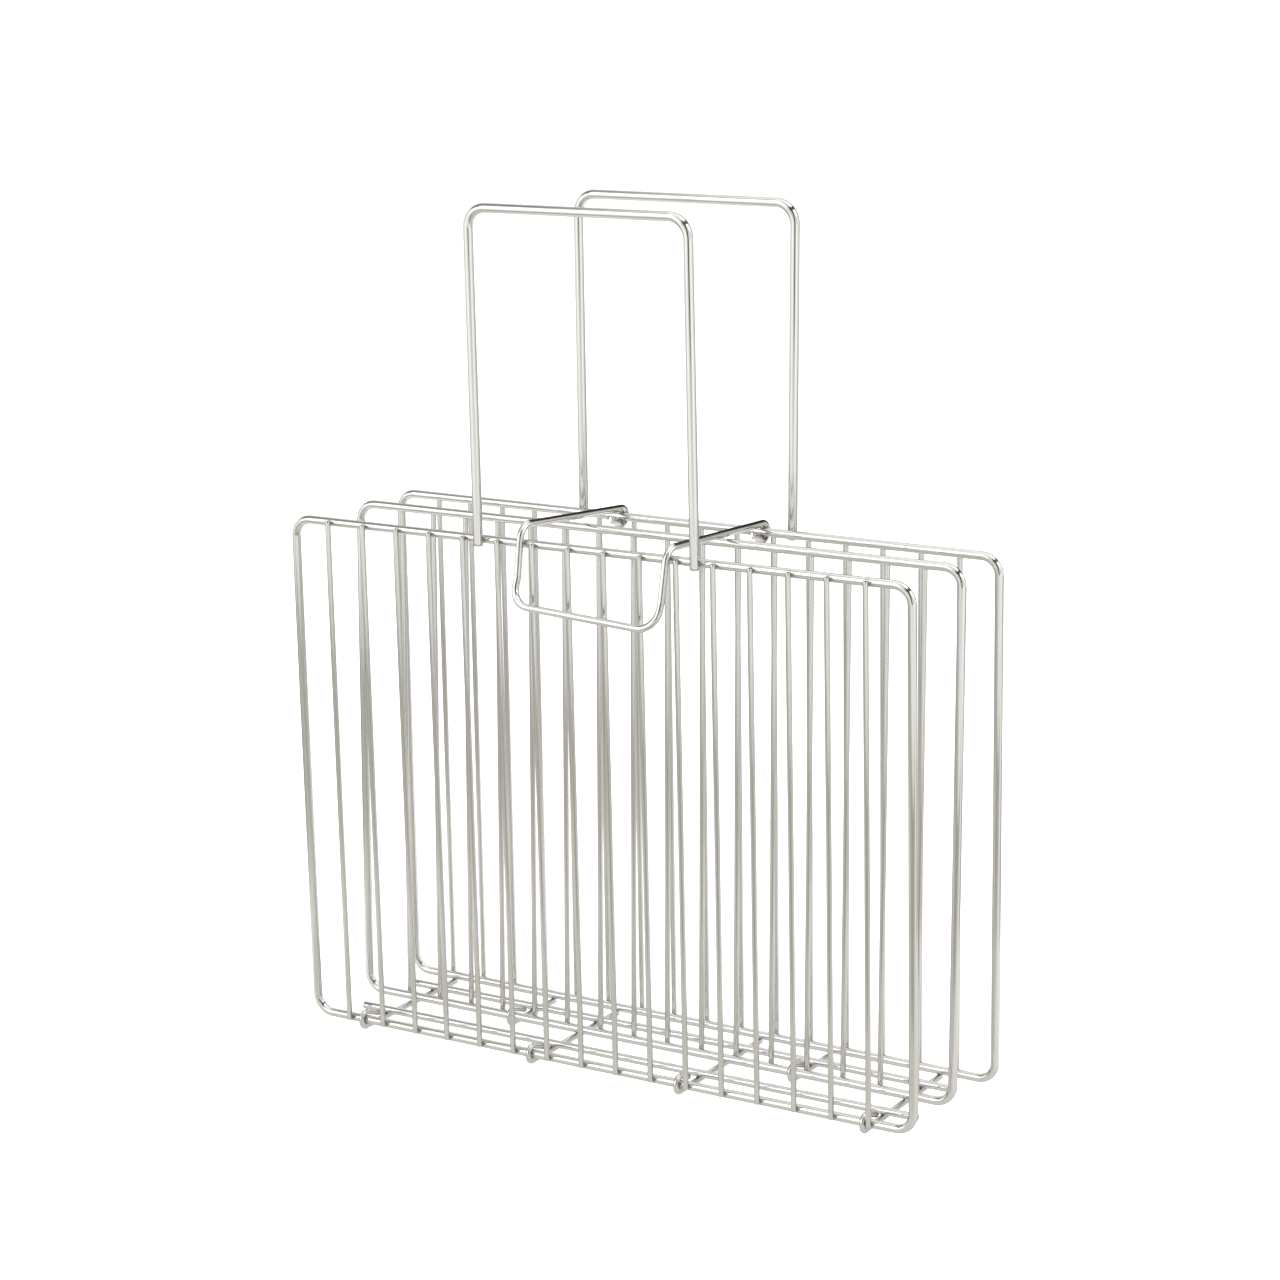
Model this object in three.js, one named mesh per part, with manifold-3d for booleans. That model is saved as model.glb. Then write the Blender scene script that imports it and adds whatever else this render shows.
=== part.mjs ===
// Magazine basket made of bright stainless steel wire.
//
// Three upright wire panels stand one behind the other on a wire base. The rear
// panel is welded to the base. The front and middle panels hang in open eyelets
// at their bottom rails and can lean. A wire bail is hooked round the rear top
// rail, reaches forward over the other two top rails and drops in front of the
// first one, so that it keeps the panels together. Two tall wire handles are
// welded to the front and rear top rails.
//
// Units are millimetres. +Z is up, +X runs along the rails, +Y points to the
// rear. Everything is laid out from the centre of the front bottom rail, and the
// whole basket is shifted at the end so that the origin is at the bottom centre.
import * as THREE from 'three';
import { mergeVertices } from 'three/addons/utils/BufferGeometryUtils.js';
import Module from 'manifold-3d';

// ---------------------------------------------------------------- dimensions
// wire gauges (diameters)
const FRAME_D = 4.4;
const HANDLE_D = 4.8;
const LATCH_D = 3.7;
const LONG_D = 3.9;
const BAR_D = 2.8;
const CROSS_D = 2.8;

// sides of the polygon that stands for each round section
const THICK_SIDES = 12;
const THIN_SIDES = 8;
const ARC_STEP = 18; // degrees between stations on a bend

const WELD_GAP = 0.1; // between the nominal circles of two wires that cross

// panels: width between the wire centres, height at the left and at the right
// side, place of the bottom rail, lean towards the front in degrees, and the face
// that carries the bars
const PANELS = {
  front: { width: 351.0, height: [263.9, 264.55], x: 0.1, y: 0.0, z: 0.0, lean: 2.67, barSide: -1 },
  middle: { width: 348.8, height: [263.7, 263.7], x: -1.1, y: 45.3, z: 0.0, lean: 0.5, barSide: 1 },
  rear: { width: 350.4, height: [264.9, 264.2], x: 0.3, y: 87.6, z: -0.2, lean: 2.09, barSide: 1 },
};
const FRAME_CORNER_R = 9.3;
// the bars of each panel, from its own centre: 20.4 mm apart on average, and as
// uneven as hand-laid bars are
const BAR_X = {
  front: [
    -152.5, -131.1, -110.5, -90.7, -70.3, -49.8, -29.3, -8.8,
    11.5, 31.8, 52.1, 72.4, 92.4, 112.8, 133.2, 153.4,
  ],
  middle: [
    -150.3, -130.7, -110.6, -90.6, -70.5, -50.1, -29.6, -9.4,
    10.7, 30.9, 51.1, 71.5, 91.8, 112.3, 133.0, 152.9,
  ],
  rear: [
    -153.1, -133.1, -113.0, -92.9, -73.1, -52.9, -32.1, -12.3,
    7.7, 28.5, 49.3, 69.4, 90.2, 110.7, 131.5, 152.4,
  ],
};
const BAR_OVERHANG = { top: 1.0, bottom: 0.5 }; // past the rail centres

// handles, from the centre of their own panel: X of the two feet, X and height of
// the two upper corners, and how far the feet reach below the top rail's centre;
// the rear one spreads a little towards the top
const HANDLES = {
  front: { feet: [-60.0, 63.2], corners: [[-59.9, 426.9], [62.9, 427.5]], drop: 2.6 },
  rear: { feet: [-63.0, 59.7], corners: [[-62.7, 426.8], [62.2, 427.1]], drop: 3.6 },
};
const HANDLE_CORNER_R = 10;

// base
const EYELET_PLAY = 0.2; // between rail and eyelet, all round
const EYELET_TAIL_DIP = 18; // degrees below level
const CROSS_X = [-144.8, -40.7, 46.4, 149.9]; // at the eyelets
const CROSS_TAIL_END = [12.5, 12.5, 9.5, 12.5]; // behind the rail centre
const CROSS_END_PAST = 1.6; // past the centre of the rear bottom rail
const MIDDLE_CROSS_X = [-83.1, 85.0];
const MIDDLE_TAIL_END = 12.5;
const CROSS_SKEW = 3.3; // degrees, rear ends turned towards the left
const LONG_Y = [19.8, 65.4];
const LONG_X = [[-160.0, 167.5], [-160.0, 165.0]];
const WELD_NUGGET_R = 1.5;

// latch bail, one row for each side: X of the hook and of the leg, and the corner
// over the front rail, the kink in the leg and the end of the cross bar as [y, z]
const LATCH_PLAY = 0.2;
const LATCH_TAIL_RISE = 25; // degrees above level
const LATCH_TAIL_LENGTH = 10;
const LATCH_LEFT = { hookX: -37.1, legX: -35.6, corner: [-15.8, 273.4], kink: [-18.9, 248.1], bar: [-24.0, 235.4] };
const LATCH_RIGHT = { hookX: 45.6, legX: 47.5, corner: [-16.2, 269.7], kink: [-21.3, 244.5], bar: [-26.7, 231.5] };
const LATCH_CORNER_R = 8;
const LATCH_KINK_R = 6;
const LATCH_BAR_R = 10;

// ------------------------------------------------------------------ finishes
const STEEL = { color: 0xcdcac2, roughness: 0.22, metalness: 1.0 };
const steel = (tint = 1) =>
  new THREE.MeshStandardMaterial({
    color: new THREE.Color(STEEL.color).multiplyScalar(tint),
    roughness: STEEL.roughness,
    metalness: STEEL.metalness,
  });

// --------------------------------------------------------------------- wires
const rad = THREE.MathUtils.degToRad;
const v3 = (x, y, z) => new THREE.Vector3(x, y, z);

// A path that passes through given stations, each with its own tangent, so that
// straight runs need no points of their own and bends are cut square.
class WirePath extends THREE.Curve {
  constructor(stations) {
    super();
    this.stations = stations;
  }
  station(u) {
    return this.stations[Math.round(u * (this.stations.length - 1))];
  }
  getPoint(t, target = new THREE.Vector3()) {
    return target.copy(this.station(t).point);
  }
  getPointAt(u, target = new THREE.Vector3()) {
    return target.copy(this.station(u).point);
  }
  getTangentAt(u, target = new THREE.Vector3()) {
    return target.copy(this.station(u).tangent);
  }
}

// Stations of an arc that starts at a point with a tangent and turns about an
// axis through centre by an angle in degrees.
function arcStations(centre, start, tangent, axis, degrees) {
  const steps = Math.max(2, Math.ceil(Math.abs(degrees) / ARC_STEP - 1e-6));
  const stations = [];
  for (let i = 0; i <= steps; i++) {
    const a = rad((degrees * i) / steps);
    stations.push({
      point: start.clone().sub(centre).applyAxisAngle(axis, a).add(centre),
      tangent: tangent.clone().applyAxisAngle(axis, a),
    });
  }
  return stations;
}

// Stations along a polyline whose inner corners are rounded to the given radii.
// Closed polylines start and end in the middle of their first side.
function roundedPolyline(points, radii, closed = false) {
  const n = points.length;
  const stations = [];
  const corner = (before, at, after, radius) => {
    const d1 = at.clone().sub(before).normalize();
    const d2 = after.clone().sub(at).normalize();
    const turn = Math.acos(THREE.MathUtils.clamp(d1.dot(d2), -1, 1));
    const axis = d1.clone().cross(d2).normalize();
    const start = at.clone().addScaledVector(d1, -radius * Math.tan(turn / 2));
    const inward = axis.clone().cross(d1);
    const centre = start.clone().addScaledVector(inward, radius);
    stations.push(...arcStations(centre, start, d1, axis, THREE.MathUtils.radToDeg(turn)));
  };
  if (closed) {
    const mid = points[0].clone().add(points[1]).multiplyScalar(0.5);
    const along = points[1].clone().sub(points[0]).normalize();
    stations.push({ point: mid, tangent: along });
    for (let i = 1; i <= n; i++) corner(points[i - 1], points[i % n], points[(i + 1) % n], radii[i % n]);
    stations.push({ point: mid.clone(), tangent: along.clone() });
  } else {
    stations.push({ point: points[0].clone(), tangent: points[1].clone().sub(points[0]).normalize() });
    for (let i = 1; i < n - 1; i++) corner(points[i - 1], points[i], points[i + 1], radii[i]);
    stations.push({ point: points[n - 1].clone(), tangent: points[n - 1].clone().sub(points[n - 2]).normalize() });
  }
  return stations;
}

// Regular polygon with its corners on the nominal circle and flats facing the
// section's own axes.
function section(diameter, sides) {
  const points = [];
  for (let i = 0; i < sides; i++) {
    const a = ((i + 0.5) / sides) * Math.PI * 2;
    points.push(new THREE.Vector2((Math.cos(a) * diameter) / 2, (Math.sin(a) * diameter) / 2));
  }
  return new THREE.Shape(points);
}

function wireGeometry(stations, diameter, sides) {
  return new THREE.ExtrudeGeometry(section(diameter, sides), {
    steps: stations.length - 1,
    extrudePath: new WirePath(stations),
    bevelEnabled: false,
  });
}

// The same for a ring: only the tube wall is kept, and its two ends are joined.
function ringGeometry(stations, diameter, sides) {
  const open = wireGeometry(stations, diameter, sides);
  const wall = open.groups.find((group) => group.materialIndex === 1);
  const from = wall.start * 3;
  const to = (wall.start + wall.count) * 3;
  let ring = new THREE.BufferGeometry();
  ring.setAttribute('position', new THREE.Float32BufferAttribute(open.attributes.position.array.slice(from, to), 3));
  ring = mergeVertices(ring, 1e-3);
  ring.computeVertexNormals();
  return ring;
}

const group = new THREE.Group();

function piece(name, geometry, parent = group, tint = 1) {
  const mesh = new THREE.Mesh(geometry, steel(tint));
  mesh.name = name;
  parent.add(mesh);
  return mesh;
}

// -------------------------------------------------------------------- panels
// Height of a panel's top rail at some X of the panel.
function railHeight(panel, x) {
  const [left, right] = panel.height;
  return left + ((right - left) * (x + panel.width / 2)) / panel.width;
}

// Inside a panel's own group X runs along the rails, Z up the panel and the
// origin is at the centre of the bottom rail.
const panelGroups = {};
for (const [name, panel] of Object.entries(PANELS)) {
  const turned = new THREE.Group();
  turned.position.set(panel.x, panel.y, panel.z);
  turned.rotation.x = rad(panel.lean);
  group.add(turned);
  panelGroups[name] = turned;

  const half = panel.width / 2;
  const corners = [
    v3(-half, 0, 0),
    v3(half, 0, 0),
    v3(half, 0, panel.height[1]),
    v3(-half, 0, panel.height[0]),
  ];
  const ring = roundedPolyline(corners, corners.map(() => FRAME_CORNER_R), true);
  piece(`${name}_panel_frame`, ringGeometry(ring, FRAME_D, THICK_SIDES), turned);

  const offset = panel.barSide * (FRAME_D / 2 + BAR_D / 2 + WELD_GAP);
  BAR_X[name].forEach((x, i) => {
    const stations = [
      { point: v3(x, offset, -BAR_OVERHANG.bottom), tangent: v3(0, 0, 1) },
      { point: v3(x, offset, railHeight(panel, x) + BAR_OVERHANG.top), tangent: v3(0, 0, 1) },
    ];
    const number = String(i + 1).padStart(2, '0');
    piece(`${name}_panel_bar_${number}`, wireGeometry(stations, BAR_D, THIN_SIDES), turned, 0.97);
  });
}

// ------------------------------------------------------------------- handles
for (const [name, handle] of Object.entries(HANDLES)) {
  const panel = PANELS[name];
  const y = panel.barSide * (FRAME_D / 2 + HANDLE_D / 2 + WELD_GAP);
  const foot = (x) => v3(x, y, railHeight(panel, x) - handle.drop);
  const corner = ([x, z]) => v3(x, y, z);
  const stations = roundedPolyline(
    [foot(handle.feet[0]), corner(handle.corners[0]), corner(handle.corners[1]), foot(handle.feet[1])],
    [0, HANDLE_CORNER_R, HANDLE_CORNER_R, 0],
  );
  piece(`${name}_handle`, wireGeometry(stations, HANDLE_D, THICK_SIDES), panelGroups[name]);
}

// ---------------------------------------------------------------------- base
// A cross wire lies under the rails, a little askew. Its front end passes under
// a bottom rail, turns up and back over it, and stops in a short tail behind it.
const eyeletR = FRAME_D / 2 + EYELET_PLAY + CROSS_D / 2;
const crossZ = -eyeletR;

function crossStations(x, railY, tailEnd) {
  const dip = rad(EYELET_TAIL_DIP);
  const skew = rad(CROSS_SKEW);
  const rearEnd = railY + (PANELS.rear.y + CROSS_END_PAST - railY) / Math.cos(skew);
  const stations = [{ point: v3(x, rearEnd, crossZ), tangent: v3(0, -1, 0) }];
  stations.push(
    ...arcStations(v3(x, railY, 0), v3(x, railY, crossZ), v3(0, -1, 0), v3(-1, 0, 0), 180 + EYELET_TAIL_DIP),
  );
  const leave = stations[stations.length - 1].point;
  const run = (railY + tailEnd - leave.y) / Math.cos(dip);
  stations.push({
    point: v3(x, leave.y + run * Math.cos(dip), leave.z - run * Math.sin(dip)),
    tangent: v3(0, Math.cos(dip), -Math.sin(dip)),
  });
  const pivot = v3(x, railY, 0);
  const up = v3(0, 0, 1);
  return stations.map(({ point, tangent }) => ({
    point: point.sub(pivot).applyAxisAngle(up, skew).add(pivot),
    tangent: tangent.applyAxisAngle(up, skew),
  }));
}

CROSS_X.forEach((x, i) => {
  const stations = crossStations(x, PANELS.front.y, CROSS_TAIL_END[i]);
  piece(`cross_wire_${i + 1}`, wireGeometry(stations, CROSS_D, THIN_SIDES));
});

// The two long wires lie on the cross wires, along the floors of the pockets.
const longZ = crossZ + CROSS_D / 2 + LONG_D / 2 + WELD_GAP;
const longGeometry = (i) =>
  wireGeometry(
    [
      { point: v3(LONG_X[i][0], LONG_Y[i], longZ), tangent: v3(1, 0, 0) },
      { point: v3(LONG_X[i][1], LONG_Y[i], longZ), tangent: v3(1, 0, 0) },
    ],
    LONG_D,
    THIN_SIDES,
  );
piece('front_long_wire', longGeometry(0));

// The rear long wire also carries the two short hinge wires of the middle panel,
// which cross under it and are welded to it. The three wires and their two weld
// nuggets are one welded part.
const wasm = await Module();
wasm.setup();

function toSolid(geometry) {
  const bare = geometry.clone();
  bare.deleteAttribute('normal');
  bare.deleteAttribute('uv');
  bare.clearGroups();
  const merged = mergeVertices(bare, 1e-4);
  return new wasm.Manifold(
    new wasm.Mesh({
      numProp: 3,
      vertProperties: new Float32Array(merged.attributes.position.array),
      triVerts: new Uint32Array(merged.index.array),
    }),
  );
}

function fromSolid(solid) {
  const mesh = solid.getMesh();
  const geometry = new THREE.BufferGeometry();
  geometry.setAttribute('position', new THREE.Float32BufferAttribute(mesh.vertProperties, 3));
  geometry.setIndex(new THREE.BufferAttribute(new Uint32Array(mesh.triVerts), 1));
  geometry.computeVertexNormals();
  return geometry;
}

let cradle = toSolid(longGeometry(1));
for (const x of MIDDLE_CROSS_X) {
  const wire = toSolid(wireGeometry(crossStations(x, PANELS.middle.y, MIDDLE_TAIL_END), CROSS_D, THIN_SIDES));
  const nugget = new THREE.SphereGeometry(WELD_NUGGET_R, 8, 6);
  const across = (LONG_Y[1] - PANELS.middle.y) * Math.tan(rad(CROSS_SKEW));
  nugget.translate(x - across, LONG_Y[1], crossZ + CROSS_D / 2 + WELD_GAP / 2);
  cradle = cradle.add(wire).add(toSolid(nugget));
}
piece('rear_long_wire_with_middle_hinges', fromSolid(cradle));

// --------------------------------------------------------------------- latch
// The bail is one bent wire. Each end rises from a short tail in front of the
// rear top rail, passes under and behind it and comes forward over it as an arm.
function onRearTopRail(x) {
  const { rear } = PANELS;
  const lean = rad(rear.lean);
  const up = railHeight(rear, x - rear.x);
  return v3(x, rear.y - up * Math.sin(lean), rear.z + up * Math.cos(lean));
}
const hookR = FRAME_D / 2 + LATCH_PLAY + LATCH_D / 2;

// Stations of one side, from the tail's end to the start of the arm.
function hookStations(side) {
  const centre = onRearTopRail(side.hookX);
  const dy = centre.y - side.corner[0];
  const dz = side.corner[1] - centre.z;
  // angle at which a line from the corner touches the hook circle at its top
  const rise = Math.atan2(dz, dy) - Math.asin(hookR / Math.hypot(dy, dz));
  const tail = rad(LATCH_TAIL_RISE);
  const start = centre.clone().add(v3(0, -hookR * Math.sin(tail), -hookR * Math.cos(tail)));
  const tangent = v3(0, Math.cos(tail), -Math.sin(tail));
  const degrees = 180 + LATCH_TAIL_RISE - THREE.MathUtils.radToDeg(rise);
  return [
    { point: start.clone().addScaledVector(tangent, -LATCH_TAIL_LENGTH), tangent: tangent.clone() },
    ...arcStations(centre, start, tangent, v3(1, 0, 0), degrees),
  ];
}

const left = hookStations(LATCH_LEFT);
const right = hookStations(LATCH_RIGHT);
const at = (side, place) => v3(side.legX, side[place][0], side[place][1]);
const loop = roundedPolyline(
  [
    left[left.length - 1].point,
    at(LATCH_LEFT, 'corner'),
    at(LATCH_LEFT, 'kink'),
    at(LATCH_LEFT, 'bar'),
    at(LATCH_RIGHT, 'bar'),
    at(LATCH_RIGHT, 'kink'),
    at(LATCH_RIGHT, 'corner'),
    right[right.length - 1].point,
  ],
  [0, LATCH_CORNER_R, LATCH_KINK_R, LATCH_BAR_R, LATCH_BAR_R, LATCH_KINK_R, LATCH_CORNER_R, 0],
);
const mirrored = right
  .slice(0, -1)
  .reverse()
  .map(({ point, tangent }) => ({ point, tangent: tangent.clone().negate() }));
piece('latch_bail', wireGeometry([...left.slice(0, -1), ...loop, ...mirrored], LATCH_D, THICK_SIDES));

// -------------------------------------------------------------------- origin
// Bottom centre of the whole basket.
group.updateMatrixWorld(true);
const box = new THREE.Box3().setFromObject(group, true);
group.position.set(-(box.min.x + box.max.x) / 2, -(box.min.y + box.max.y) / 2, -box.min.z);
group.updateMatrixWorld(true);

export default group;
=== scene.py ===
import math

import bpy
import numpy as np
from mathutils import Matrix, Vector


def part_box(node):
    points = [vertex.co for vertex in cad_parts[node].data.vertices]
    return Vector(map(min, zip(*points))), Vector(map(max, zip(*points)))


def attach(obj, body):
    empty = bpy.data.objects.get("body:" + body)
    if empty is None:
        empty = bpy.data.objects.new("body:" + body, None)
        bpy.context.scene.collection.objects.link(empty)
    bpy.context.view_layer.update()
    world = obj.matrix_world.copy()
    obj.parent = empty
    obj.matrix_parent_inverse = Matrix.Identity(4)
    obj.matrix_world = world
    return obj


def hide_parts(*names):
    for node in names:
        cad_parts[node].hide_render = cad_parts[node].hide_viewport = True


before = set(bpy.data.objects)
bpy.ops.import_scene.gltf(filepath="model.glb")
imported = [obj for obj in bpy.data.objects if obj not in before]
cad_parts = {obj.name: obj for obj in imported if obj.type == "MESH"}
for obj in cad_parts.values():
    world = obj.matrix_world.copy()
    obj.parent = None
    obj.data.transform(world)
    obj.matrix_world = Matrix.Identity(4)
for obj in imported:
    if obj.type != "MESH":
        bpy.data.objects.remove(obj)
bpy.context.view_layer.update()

# A wire magazine basket in bright stainless steel. Every faceted wire of the
# frame is replaced by a round one that follows the same line, with cut ends, and
# every crossing gets its weld.
rng = np.random.default_rng(7)
scene = bpy.context.scene

# ------------------------------------------------------------------ dimensions
# In millimetres, laid out from the centre of the front bottom rail.
FRAME_D, HANDLE_D, LATCH_D, LONG_D, BAR_D, CROSS_D = 4.4, 4.8, 3.7, 3.9, 2.8, 2.8
WELD_GAP = 0.1
PANELS = {
    "front": dict(width=351.0, height=(263.9, 264.55), x=0.1, y=0.0, z=0.0, lean=2.67, side=-1, body="front_panel"),
    "middle": dict(width=348.8, height=(263.7, 263.7), x=-1.1, y=45.3, z=0.0, lean=0.5, side=1, body="middle_panel"),
    "rear": dict(width=350.4, height=(264.9, 264.2), x=0.3, y=87.6, z=-0.2, lean=2.09, side=1, body="base"),
}
FRAME_CORNER_R = 9.3
BAR_X = {
    "front": [
        -152.5, -131.1, -110.5, -90.7, -70.3, -49.8, -29.3, -8.8,
        11.5, 31.8, 52.1, 72.4, 92.4, 112.8, 133.2, 153.4,
    ],
    "middle": [
        -150.3, -130.7, -110.6, -90.6, -70.5, -50.1, -29.6, -9.4,
        10.7, 30.9, 51.1, 71.5, 91.8, 112.3, 133.0, 152.9,
    ],
    "rear": [
        -153.1, -133.1, -113.0, -92.9, -73.1, -52.9, -32.1, -12.3,
        7.7, 28.5, 49.3, 69.4, 90.2, 110.7, 131.5, 152.4,
    ],
}
BAR_TOP, BAR_BOTTOM = 1.0, 0.5
HANDLE_CORNER_R = 10.0
HANDLES = {
    "front": dict(feet=(-60.0, 63.2), corners=((-59.9, 426.9), (62.9, 427.5)), drop=2.6),
    "rear": dict(feet=(-63.0, 59.7), corners=((-62.7, 426.8), (62.2, 427.1)), drop=3.6),
}
EYELET_PLAY, EYELET_TAIL_DIP = 0.2, 18.0
CROSS_X = [-144.8, -40.7, 46.4, 149.9]
CROSS_TAIL_END = [12.5, 12.5, 9.5, 12.5]
CROSS_END_PAST = 1.6
MIDDLE_CROSS_X = [-83.1, 85.0]
MIDDLE_TAIL_END = 12.5
CROSS_SKEW = 3.3
LONG_Y = [19.8, 65.4]
LONG_X = [(-160.0, 167.5), (-160.0, 165.0)]
LATCH_PLAY, LATCH_TAIL_RISE, LATCH_TAIL_LENGTH = 0.2, 25.0, 10.0
LATCH_LEFT = dict(hook=-37.1, leg=-35.6, corner=(-15.8, 273.4), kink=(-18.9, 248.1), bar=(-24.0, 235.4))
LATCH_RIGHT = dict(hook=45.6, leg=47.5, corner=(-16.2, 269.7), kink=(-21.3, 244.5), bar=(-26.7, 231.5))
LATCH_CORNER_R, LATCH_KINK_R, LATCH_BAR_R = 8.0, 6.0, 10.0

EYELET_R = FRAME_D / 2 + EYELET_PLAY + CROSS_D / 2
CROSS_Z = -EYELET_R
LONG_Z = CROSS_Z + CROSS_D / 2 + LONG_D / 2 + WELD_GAP
CONTACT_Z = CROSS_Z + (CROSS_D + WELD_GAP) / 2

# where that point lies in the frame, read from the front long wire
lo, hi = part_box("front_long_wire")
ORIGIN = np.array([
    (lo.x + hi.x) * 500 - sum(LONG_X[0]) / 2,
    (lo.y + hi.y) * 500 - LONG_Y[0],
    (lo.z + hi.z) * 500 - LONG_Z,
])

X, Y, Z = np.eye(3)


def vec(x, y, z):
    return np.array([x, y, z], float)


def unit(v):
    return v / np.linalg.norm(v)


def turned(v, axis, degrees):
    a = math.radians(degrees)
    return v * math.cos(a) + np.cross(axis, v) * math.sin(a) + axis * np.dot(axis, v) * (1 - math.cos(a))


# --------------------------------------------------------------- wire centrelines
# A line is a list of (point, tangent).
ARC_STEP = 6.0


def arc(centre, start, tangent, axis, degrees):
    steps = max(2, math.ceil(abs(degrees) / ARC_STEP))
    return [
        (turned(start - centre, axis, degrees * i / steps) + centre, turned(tangent, axis, degrees * i / steps))
        for i in range(steps + 1)
    ]


def rounded(points, radii, closed=False):
    line = []

    def corner(before, at, after, radius):
        d1, d2 = unit(at - before), unit(after - at)
        turn = math.acos(max(-1, min(1, float(np.dot(d1, d2)))))
        axis = unit(np.cross(d1, d2))
        start = at - d1 * radius * math.tan(turn / 2)
        line.extend(arc(start + np.cross(axis, d1) * radius, start, d1, axis, math.degrees(turn)))

    n = len(points)
    if closed:
        middle = (points[0] + points[1]) / 2
        along = unit(points[1] - points[0])
        line.append((middle, along))
        for i in range(1, n + 1):
            corner(points[i - 1], points[i % n], points[(i + 1) % n], radii[i % n])
    else:
        line.append((points[0], unit(points[1] - points[0])))
        for i in range(1, n - 1):
            corner(points[i - 1], points[i], points[i + 1], radii[i])
        line.append((points[-1], unit(points[-1] - points[-2])))
    return line


def with_stops(line, stops, closed=False):
    """The same line with further stations on its straight runs, near the stops."""
    out = []
    count = len(line) if closed else len(line) - 1
    for i in range(count):
        p, t = line[i]
        q = line[(i + 1) % len(line)][0]
        out.append((p, t))
        run = q - p
        length = np.linalg.norm(run)
        if length < 3:
            continue
        direction = run / length
        at = set()
        for s in stops:
            along = float(np.dot(s - p, direction))
            if np.linalg.norm(p + direction * along - s) > 6:
                continue
            for offset in (-7, -4.5, -2.8, -1.4, 0, 1.4, 2.8, 4.5, 7):
                if 0.4 < along + offset < length - 0.4:
                    at.add(round(along + offset, 3))
        last = -1.0
        for a in sorted(at):
            if a - last > 0.35:
                out.append((p + direction * a, direction))
                last = a
    if not closed:
        out.append(line[-1])
    return out


# --------------------------------------------------------------------- surfaces
def new_piece(name, verts, faces, uvs, welds, body, slot, material, place=None):
    verts = np.asarray(verts, float)
    if place is not None:
        verts = place(verts)
    verts = (verts + ORIGIN) / 1000.0
    mesh = bpy.data.meshes.new(name)
    mesh.from_pydata([tuple(v) for v in verts], [], faces)
    mesh.polygons.foreach_set("use_smooth", [True] * len(mesh.polygons))
    layer = mesh.uv_layers.new(name="along_wire")
    flat = [c for face in uvs for uv in face for c in uv]
    layer.data.foreach_set("uv", flat)
    heat = mesh.attributes.new("weld_heat", "FLOAT", "POINT")
    heat.data.foreach_set("value", np.asarray(welds, np.float32))
    mesh.materials.append(material)
    mesh.validate()
    piece = bpy.data.objects.new(name, mesh)
    scene.collection.objects.link(piece)
    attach(piece, body)
    return piece


def tube(line, diameter, sides=24, closed=False, stops=(), cut=0.28):
    """A round wire along a line. Open ends are sheared square with a worn rim.
    The stops are the welded contacts, where the wire is tinted by heat."""
    radius = diameter / 2
    points = [p for p, _ in line]
    tangents = [unit(t) for _, t in line]
    # frames carried along the line without twist
    first = tangents[0]
    side = unit(np.cross(first, Z if abs(first[2]) < 0.9 else X))
    frames = []
    for t in tangents:
        side = unit(side - t * np.dot(side, t))
        frames.append((side, np.cross(t, side)))
    rings = [(p, f, radius) for p, f in zip(points, frames)]
    if not closed:
        # worn rim: two extra rings before each cut face
        a, b = line[0], line[-1]
        rings[0] = (points[0] + tangents[0] * cut, frames[0], radius)
        rings[-1] = (points[-1] - tangents[-1] * cut, frames[-1], radius)
        rings.insert(0, (points[0] + tangents[0] * cut * 0.28, frames[0], radius - cut * 0.35))
        rings.insert(0, (points[0], frames[0], radius - cut))
        rings.append((points[-1] - tangents[-1] * cut * 0.28, frames[-1], radius - cut * 0.35))
        rings.append((points[-1], frames[-1], radius - cut))
    verts, heats, lengths = [], [], []
    travelled = 0.0
    for i, (p, (s, u), r) in enumerate(rings):
        if i:
            travelled += float(np.linalg.norm(p - rings[i - 1][0]))
        lengths.append(travelled)
        close = [stop for stop in stops if np.linalg.norm(p - stop) < diameter / 2 + 5]
        for k in range(sides):
            a = 2 * math.pi * k / sides
            at = p + (s * math.cos(a) + u * math.sin(a)) * r
            near = min([float(np.linalg.norm(at - stop)) for stop in close] or [99])
            verts.append(at)
            heats.append(max(0.0, 1 - max(0.0, near - 1.0) / 2.3))
    faces, uvs = [], []
    n = len(rings)
    girth = math.pi * diameter
    for i in range(n if closed else n - 1):
        j = (i + 1) % n
        v0 = lengths[i]
        v1 = lengths[i + 1] if i + 1 < n else travelled + float(np.linalg.norm(rings[0][0] - rings[-1][0]))
        for k in range(sides):
            l = (k + 1) % sides
            faces.append((i * sides + k, i * sides + l, j * sides + l, j * sides + k))
            w0, w1 = girth * k / sides, girth * (k + 1) / sides
            uvs.append(((v0 / 1000, w0 / 1000), (v0 / 1000, w1 / 1000), (v1 / 1000, w1 / 1000), (v1 / 1000, w0 / 1000)))
    if not closed:
        for end, sign in ((0, -1), (n - 1, 1)):
            # sheared face, slightly dished
            centre = rings[end][0] - tangents[0 if end == 0 else -1] * 0.12 * sign
            verts.append(centre)
            heats.append(heats[end * sides])
            c = len(verts) - 1
            for k in range(sides):
                l = (k + 1) % sides
                tri = (end * sides + l, end * sides + k, c) if end == 0 else (end * sides + k, end * sides + l, c)
                faces.append(tri)
                w = [tuple(np.array([math.cos(2 * math.pi * m / sides), math.sin(2 * math.pi * m / sides)]) * radius / 1000) for m in (k, l)]
                order = (w[1], w[0]) if end == 0 else (w[0], w[1])
                uvs.append((order[0], order[1], (0.0, 0.0)))
    return verts, faces, uvs, heats


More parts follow.
